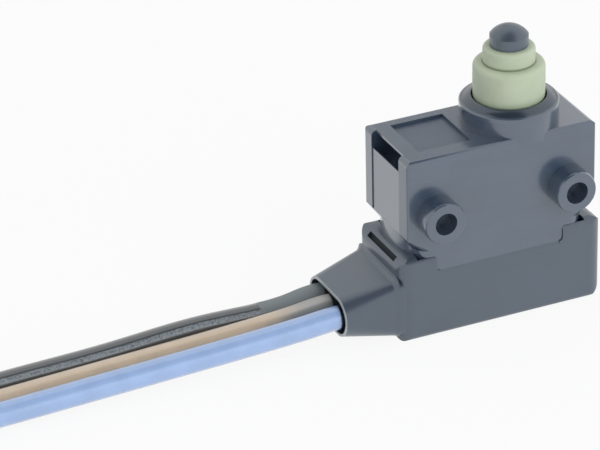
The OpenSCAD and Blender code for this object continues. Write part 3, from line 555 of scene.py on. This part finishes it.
def new_tree(name, inputs):
    tree = bpy.data.node_groups.new(name, "GeometryNodeTree")
    tree.interface.new_socket("Geometry", in_out="OUTPUT", socket_type="NodeSocketGeometry")
    ids = {label: tree.interface.new_socket(label, in_out="INPUT", socket_type=kind).identifier
           for label, kind in inputs.items()}
    return tree, ids


def tree_node(tree, kind, sockets=None, **settings):
    made = tree.nodes.new(kind)
    for key, value in settings.items():
        setattr(made, key, value)
    for key, value in (sockets or {}).items():
        if isinstance(value, bpy.types.NodeSocket):
            tree.links.new(value, made.inputs[key])
        else:
            made.inputs[key].default_value = value
    return made


def tree_sum(tree, operation, first, second):
    return tree_node(tree, "ShaderNodeMath", {0: first, 1: second}, operation=operation).outputs[0]


def sweep(tree, curve, radius, sides, finish):
    """Ends a tree: a round wire along the curve, as real geometry with its finish."""
    ring = tree_node(tree, "GeometryNodeCurvePrimitiveCircle", {"Resolution": sides, "Radius": radius})
    swept = tree_node(tree, "GeometryNodeCurveToMesh", {
        "Curve": curve, "Profile Curve": ring.outputs[0], "Fill Caps": True})
    real = tree_node(tree, "GeometryNodeRealizeInstances", {0: swept.outputs[0]})
    painted = tree_node(tree, "GeometryNodeSetMaterial", {"Geometry": real.outputs[0], "Material": finish})
    tree_node(tree, "NodeGroupOutput", {0: painted.outputs[0]})


def smooth(mesh):
    for face in mesh.polygons:
        face.use_smooth = True


def grow(name, tree, ids, values):
    """Runs a tree on an empty mesh and gives back its result as a plain, smooth mesh object."""
    seed = put(name + "_seed", bpy.data.meshes.new(name + "_seed"))
    modifier = seed.modifiers.new("tree", "NODES")
    modifier.node_group = tree
    for label, value in values.items():
        modifier[ids[label]] = value
    bpy.context.view_layer.update()
    graph = bpy.context.evaluated_depsgraph_get()
    mesh = bpy.data.meshes.new_from_object(seed.evaluated_get(graph))
    bpy.data.objects.remove(seed)
    mesh.name = name
    smooth(mesh)
    return put(name, mesh)


print("tree tools ready")

# %% Tree for a twist of strands
def strand_tree():
    tree, ids = new_tree("strand_twist", {
        "Length": NUMBER, "Core radius": NUMBER, "Strand radius": NUMBER, "Turns": NUMBER,
        "Strands": COUNT, "Finish": MATERIAL})
    given = tree_node(tree, "NodeGroupInput").outputs
    spiral = tree_node(tree, "GeometryNodeCurveSpiral", {
        "Resolution": 16, "Rotations": given["Turns"], "Start Radius": given["Core radius"],
        "End Radius": given["Core radius"], "Height": given["Length"]})
    spots = tree_node(tree, "GeometryNodeMeshLine", {"Count": given["Strands"], "Offset": (0, 0, 0)})
    index = tree_node(tree, "GeometryNodeInputIndex").outputs[0]
    step = tree_sum(tree, "DIVIDE", 2 * math.pi, given["Strands"])
    turn = tree_node(tree, "ShaderNodeCombineXYZ", {"Z": tree_sum(tree, "MULTIPLY", index, step)})
    copies = tree_node(tree, "GeometryNodeInstanceOnPoints", {
        "Points": spots.outputs[0], "Instance": spiral.outputs[0], "Rotation": turn.outputs[0]})
    real = tree_node(tree, "GeometryNodeRealizeInstances", {0: copies.outputs[0]})
    sweep(tree, real.outputs[0], given["Strand radius"], sides=8, finish=given["Finish"])
    return tree, ids


strand_twist, strand_ids = strand_tree()
print("strand tree nodes:", len(strand_twist.nodes))

# %% Lay the leads
STRAND_CORE_R, STRAND_R, STRAND_TURNS, STRANDS = 0.34, 0.19, 0.8, 7


def lay_lead(name, place, finish):
    points = [p * MM for p in lead_route(place)]
    curve = bpy.data.curves.new(name, "CURVE")
    curve.dimensions = "3D"
    curve.bevel_depth, curve.bevel_resolution = LEAD_D / 2 * MM, 5
    curve.resolution_u, curve.use_fill_caps = 5, True
    spline = curve.splines.new("BEZIER")
    spline.bezier_points.add(len(points) - 1)
    for knot, point in zip(spline.bezier_points, points):
        knot.co = point
        knot.handle_left_type = knot.handle_right_type = "AUTO"
    curve.materials.append(finish)
    lead = put(name, curve)
    tip = grow(name + "_tip", strand_twist, strand_ids, {
        "Length": TIP_L * MM, "Core radius": STRAND_CORE_R * MM, "Strand radius": STRAND_R * MM,
        "Turns": STRAND_TURNS, "Strands": STRANDS, "Finish": solder_tin})
    tip.data.transform(Matrix.Translation(points[-1]) @ Matrix.Rotation(math.radians(90), 4, "Y"))
    return lead, tip


for colour, place, finish in (("black", 1, lead_black_pvc), ("brown", 0, lead_brown_pvc),
                              ("blue", -1, lead_blue_pvc)):
    lead, tip = lay_lead("lead_%s_core" % colour, place, finish)
    for piece in (lead, tip):
        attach(piece, "case")
    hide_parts("lead_" + colour)
    place * LEAD_PITCH * MM
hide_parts("lead_hank")

# %% [markdown]
# ## Tie of the hank
# A soft strap holds the hank together. It runs once round the hank's middle and bends over the outer leads.
# A curve with a flat section could make it, but would put half of its thickness into the leads. Mesh code
# lays a row of four corners at each point of the path, with the thickness outwards, and joins the rows.

# %% Tie of the hank
STRAP_W, STRAP_T, STRAP_EDGE = 4.0, 0.28, 0.06


def arc(cx, cy, r, from_deg, to_deg, steps):
    angles = [math.radians(from_deg + (to_deg - from_deg) * i / steps) for i in range(steps + 1)]
    return [(cx + r * math.cos(a), cy + r * math.sin(a)) for a in angles]


def settle(name, bm, finish):
    """Makes an object of a finished bmesh, with its faces turned outwards."""
    bmesh.ops.recalc_face_normals(bm, faces=bm.faces[:])
    mesh = bpy.data.meshes.new(name)
    bm.to_mesh(mesh)
    bm.free()
    mesh.materials.append(finish)
    return put(name, mesh)


def tie_path():
    corner = LEAD_D / 2
    low, high = TIE_T + corner, TIE_T + 2 * LEAD_PITCH + corner
    path = []
    for side, z, start in ((1, low, -90), (1, high, 0), (-1, high, 90), (-1, low, 180)):
        path += arc(HANK_Y + side * HANK_OUT_R, z, corner, start, start + 90, 6)
    return path + path[:1]


def strap(name, path, x_middle, finish):
    """A band along a path of (y, z) points, with its thickness outwards."""
    bm = bmesh.new()
    rows = []
    for i, (y, z) in enumerate(path):
        before, after = path[max(0, i - 1)], path[min(len(path) - 1, i + 1)]
        way = Vector((0, after[0] - before[0], after[1] - before[1])).normalized()
        out = Vector((0, way.z, -way.y))
        at = Vector((x_middle, y, z))
        rows.append([bm.verts.new((at + Vector((s * STRAP_W / 2, 0, 0)) + out * o) * MM)
                     for s, o in ((-1, 0), (1, 0), (1, STRAP_T), (-1, STRAP_T))])
    for a, b in zip(rows, rows[1:]):
        for k in range(4):
            bm.faces.new((a[k], a[(k + 1) % 4], b[(k + 1) % 4], b[k]))
    bm.faces.new(rows[0][::-1])
    bm.faces.new(rows[-1])
    made = settle(name, bm, finish)
    bevel = made.modifiers.new("edges", "BEVEL")
    bevel.width, bevel.segments, bevel.limit_method = STRAP_EDGE * MM, 2, "ANGLE"
    return made


tie = strap("hank_strap", tie_path(), HANK_X - HANK_RUN / 2, tie_plastic)
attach(tie, "case")
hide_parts("hank_tie")
print("tie faces:", len(tie.data.polygons))

# %% [markdown]
# ## Rubber boot
# The boot is a turned form: a wide tier that stands in the collar, a narrower tier above it, and a lip that
# grips the plunger's neck. Its profile is drawn once and spun, which keeps every radius exact, so it fits its
# seat and the plunger.

# %% Rubber boot
BOOT_SEAT_Z, BOOT_TOP_Z, BOOT_SIDES, TRAVEL = 18.5, 26.6, 96, 2.2


def spin(name, profile, sides, finish):
    """Turns a closed profile of (radius, height) points about the plunger's axis."""
    bm = bmesh.new()
    rings = []
    for k in range(sides):
        a = 2 * math.pi * k / sides
        rings.append([bm.verts.new(((BUTTON_X + r * math.cos(a)) * MM, r * math.sin(a) * MM, z * MM))
                      for r, z in profile])
    for k, here in enumerate(rings):
        there = rings[(k + 1) % sides]
        for i in range(len(profile)):
            j = (i + 1) % len(profile)
            bm.faces.new((here[i], there[i], there[j], here[j]))
    made = settle(name, bm, finish)
    smooth(made.data)
    return made


boot_foot = [(2.5, BOOT_SEAT_Z), (3.86, BOOT_SEAT_Z), (3.9, 18.6), (3.9, 19.3), (3.82, 19.38), (3.15, 19.4)]
boot_waist = [(3.05, 19.5), (3.05, 20.5), (3.12, 20.75), (3.28, 20.95), (3.4, 21.15), (3.45, 21.4)]
boot_wide = [(3.47, 22.2), (3.48, 23.0), (3.47, 23.9)] + arc(2.97, 24.42, 0.5, 0, 80, 8)
boot_crease = [(2.8, 24.92), (2.6, 24.92), (2.54, 24.93), (2.52, 24.97), (2.52, 25.1)]
boot_narrow = [(2.52, 25.6)] + arc(2.14, 26.2, 0.38, 0, 80, 7)
boot_lip = [(1.9, BOOT_TOP_Z), (1.6, BOOT_TOP_Z), (1.52, 26.55), (1.5, 26.45)]
boot_inside = [(1.5, 25.1), (1.95, 25.1), (1.95, 24.4), (2.92, 24.4), (2.92, 21.9), (2.5, 21.0)]
boot_profile = boot_foot + boot_waist + boot_wide + boot_crease + boot_narrow + boot_lip + boot_inside
boot = spin("rubber_boot", boot_profile, BOOT_SIDES, boot_rubber)
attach(boot, "case")
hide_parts("sealing_boot")
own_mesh(boot)
print("boot faces:", len(boot.data.polygons))

# %% [markdown]
# ## Rim of the collar
# The collar's end isn't flat. It rises to the boot as a low cone, and round it, behind a fine groove, runs a
# narrow rounded edge. A turned ring lies over the plain end of the collar and sinks into it, so no gap shows.

# %% Rim of the collar
RIM_SLOPE, RIM_SIDES = 25, 128
rim_cone = [(3.6, 20.6)] + arc(3.66, 21.42, 0.06, 180, 90 - RIM_SLOPE, 5)
rim_groove = [(4.556, 21.068), (4.566, 21.0), (4.626, 20.98), (4.64, 21.03)]
rim_edge = arc(4.632, 20.86, 0.17, 75, 0, 8)
rim_buried = [(4.802, 20.42), (4.802, 20.4), (4.6, 20.3), (3.8, 20.3)]
rim = spin("collar_rim", rim_cone + rim_groove + rim_edge + rim_buried, RIM_SIDES, housing_plastic)
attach(rim, "case")
print("rim faces:", len(rim.data.polygons))

# %% [markdown]
# ## Neck at the left end
# Under its sloping end the housing swells out to the base's rim. The swelling is drawn as a plan, a flat bow,
# and raised to the slope. Its top is buried in the slope and its foot in the rim, so only the bow shows.

# %% Neck at the left end
NECK_X, NECK_BOW, NECK_HALF, NECK_LOW = -8.5, 1.22, 3.6, 8.5
NECK_FULL, NECK_STEPS, NECK_SHARP = 2.5, 40, math.radians(40)
END_X, SLOPE_TOP, SLOPE_RISE, SLOPE_BURY = -10, 10.8, 1.6 / 1.06, 0.05


def neck_swell(name, finish):
    plan = []
    for i in range(NECK_STEPS + 1):
        side = math.sin(math.radians(-90 + 180 * i / NECK_STEPS))
        plan.append((NECK_X - NECK_BOW * math.sqrt(1 - abs(side) ** NECK_FULL), NECK_HALF * side))
    bm = bmesh.new()
    low = [bm.verts.new((x * MM, y * MM, NECK_LOW * MM)) for x, y in plan]
    high = [bm.verts.new((x * MM, y * MM, (SLOPE_TOP + SLOPE_BURY - (x - END_X) * SLOPE_RISE) * MM))
            for x, y in plan]
    for i in range(len(plan)):
        j = (i + 1) % len(plan)
        bm.faces.new((low[i], low[j], high[j], high[i])).smooth = j > 0
    bm.faces.new(low)
    bm.faces.new(high)
    made = settle(name, bm, finish)
    made.data.set_sharp_from_angle(angle=NECK_SHARP)
    return made


neck = neck_swell("neck_swell", housing_plastic)
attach(neck, "case")
print("neck faces:", len(neck.data.polygons))

# %% [markdown]
# ## Operating spring
# A helix with a round wire is the plainest use of a tree: a spiral, a circle, and one node that sweeps
# the circle along it.

# %% Operating spring
SPRING_LOW, SPRING_HIGH, SPRING_WIRE_R, SPRING_COIL_R, SPRING_TURNS = 12.3, 16.6, 0.16, 1.25, 5.0


def coil_tree():
    tree, ids = new_tree("coil_spring", {
        "Wire radius": NUMBER, "Coil radius": NUMBER, "Height": NUMBER, "Turns": NUMBER, "Finish": MATERIAL})
    given = tree_node(tree, "NodeGroupInput").outputs
    spiral = tree_node(tree, "GeometryNodeCurveSpiral", {
        "Resolution": 32, "Rotations": given["Turns"], "Start Radius": given["Coil radius"],
        "End Radius": given["Coil radius"], "Height": given["Height"]})
    sweep(tree, spiral.outputs[0], given["Wire radius"], sides=10, finish=given["Finish"])
    return tree, ids


coil_spring, coil_ids = coil_tree()
spring = grow("operating_coil", coil_spring, coil_ids, {
    "Wire radius": SPRING_WIRE_R * MM, "Coil radius": SPRING_COIL_R * MM, "Turns": SPRING_TURNS,
    "Height": (SPRING_HIGH - SPRING_LOW - 2 * SPRING_WIRE_R) * MM, "Finish": spring_steel})
spring.data.transform(Matrix.Translation(Vector((BUTTON_X, 0, SPRING_LOW + SPRING_WIRE_R)) * MM))
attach(spring, "case")
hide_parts("operating_spring")
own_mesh(spring)
print("spring faces:", len(spring.data.polygons))

# %% [markdown]
# ## Finishes on the rigid pieces
# The rigid CAD pieces already have their true shape, so each one only gets its finish.

# %% Finishes on the rigid pieces
finish_of = {
    "housing": housing_plastic, "base_overmould": base_plastic, "plunger": button_plastic,
    "plunger_retainer": spring_steel, "contact_carrier": carrier_plastic,
    "terminal_common": terminal_brass, "terminal_nc": terminal_brass, "terminal_no": terminal_brass,
    "contact_nc": contact_silver, "contact_no": contact_silver, "moving_contact": contact_silver,
    "contact_blade": terminal_brass, "conductor_black": conductor_copper,
    "conductor_brown": conductor_copper, "conductor_blue": conductor_copper, "solder_joints": solder_tin}
for name, finish in finish_of.items():
    materials = nodes[name].data.materials
    materials.clear()
    materials.append(finish)
print("rigid pieces painted:", len(finish_of))

# %% [markdown]
# ## Floor and light
# The photograph is a cut-out on white. A pale floor, a plain surround and one soft box light the switch
# evenly. More light would make the ground white too, but would bleach the plastic. So the white is only what
# the camera and the gloss see, and a tenth of the lit floor still shows, with the soft shadow on it.

# %% Floor
FLOOR_HALF, FLOOR_DROP, FLOOR_WHITE = 1.5, 0.02, 0.9
FLOOR_SHADES, FLOOR_TINT_PER_MM = ((0.86, 0.86, 0.86), (0.88, 0.88, 0.88)), 0.002
WHITE = (1, 1, 1)


def white_rays(finish, camera_share):
    """How much plain white a ray sees: all of it in gloss and glass, and a share of it in the camera."""
    rays = finish.node("ShaderNodeLightPath", out="Is Camera Ray") * camera_share
    for kind in ("Is Glossy Ray", "Is Transmission Ray"):
        rays = rays.most(finish.node("ShaderNodeLightPath", out=kind))
    return rays


def floor_finish():
    finish = Finish("floor")
    tint = finish.mix(finish.noise(finish.place(), FLOOR_TINT_PER_MM, detail=2.0), *FLOOR_SHADES)
    matt = finish.node("ShaderNodeBsdfDiffuse", None, {"Color": tint}, "BSDF")
    white = finish.node("ShaderNodeEmission", None, {"Color": WHITE, "Strength": 1.0}, "Emission")
    rays = white_rays(finish, FLOOR_WHITE)
    return finish.show(finish.node("ShaderNodeMixShader", None, {0: rays, 1: matt, 2: white}))


floor_mesh = bpy.data.meshes.new("floor")
floor_mesh.from_pydata([(x * FLOOR_HALF, y * FLOOR_HALF, 0) for x, y in ((-1, -1), (1, -1), (1, 1), (-1, 1))],
                       [], [(0, 1, 2, 3)])
floor_mesh.materials.append(floor_finish())
floor = put("floor", floor_mesh)
floor.location.z = -FLOOR_DROP * MM
print("floor:", 2 * FLOOR_HALF, "m wide")

# %% Light
SKY_SHADE, SKY_STRENGTH = (0.97, 0.98, 1.0), 0.72
BOX_AT, BOX_AIM, BOX_SIZE, BOX_WATTS = (0.25, -0.74, 0.25), (0, 0, 0.012), 0.8, 3.2


def studio_world():
    sky = Finish("studio", world=True)
    plain = sky.node("ShaderNodeBackground", None, {"Color": SKY_SHADE, "Strength": SKY_STRENGTH})
    white = sky.node("ShaderNodeBackground", None, {"Color": WHITE, "Strength": 1.0})
    return sky.show(sky.node("ShaderNodeMixShader", None, {0: white_rays(sky, 1.0), 1: plain, 2: white}))


def soft_box(name):
    lamp = bpy.data.lights.new(name, "AREA")
    lamp.shape, lamp.size, lamp.energy = "SQUARE", BOX_SIZE, BOX_WATTS
    made = put(name, lamp)
    made.location = BOX_AT
    made.rotation_mode = "QUATERNION"
    made.rotation_quaternion = (Vector(BOX_AIM) - Vector(BOX_AT)).to_track_quat("-Z", "Y")
    made.visible_glossy = False


scene.world = studio_world()
soft_box("front_box")
scene.view_settings.view_transform = "Standard"

# %% [markdown]
# Two cards show only in the gloss: a dark one over the leads draws dark lines on them, on the gland's edge
# and on the button, and a grey one behind tones down the top.

# %% Cards
def gloss_card(name, x_range, lower_edge, upper_edge, shade):
    """A card between two level edges, each at (y, z) in mm. It is seen in the gloss and gives no shade."""
    (left, right), (low_y, low_z), (high_y, high_z) = x_range, lower_edge, upper_edge
    corners = [(left, low_y, low_z), (right, low_y, low_z), (right, high_y, high_z), (left, high_y, high_z)]
    mesh = bpy.data.meshes.new(name)
    mesh.from_pydata([Vector(corner) * MM for corner in corners], [], [(0, 1, 2, 3)])
    mesh.materials.append(Finish(name).surface(Base_Color=(shade, shade, shade), Roughness=0.9))
    made = put(name, mesh)
    made.visible_camera = made.visible_diffuse = made.visible_shadow = False


gloss_card("lead_card", (-40, 16), lower_edge=(-60, 49), upper_edge=(4, 72), shade=0.03)
gloss_card("back_card", (13, 32), lower_edge=(60, 47), upper_edge=(60, 80), shade=0.55)
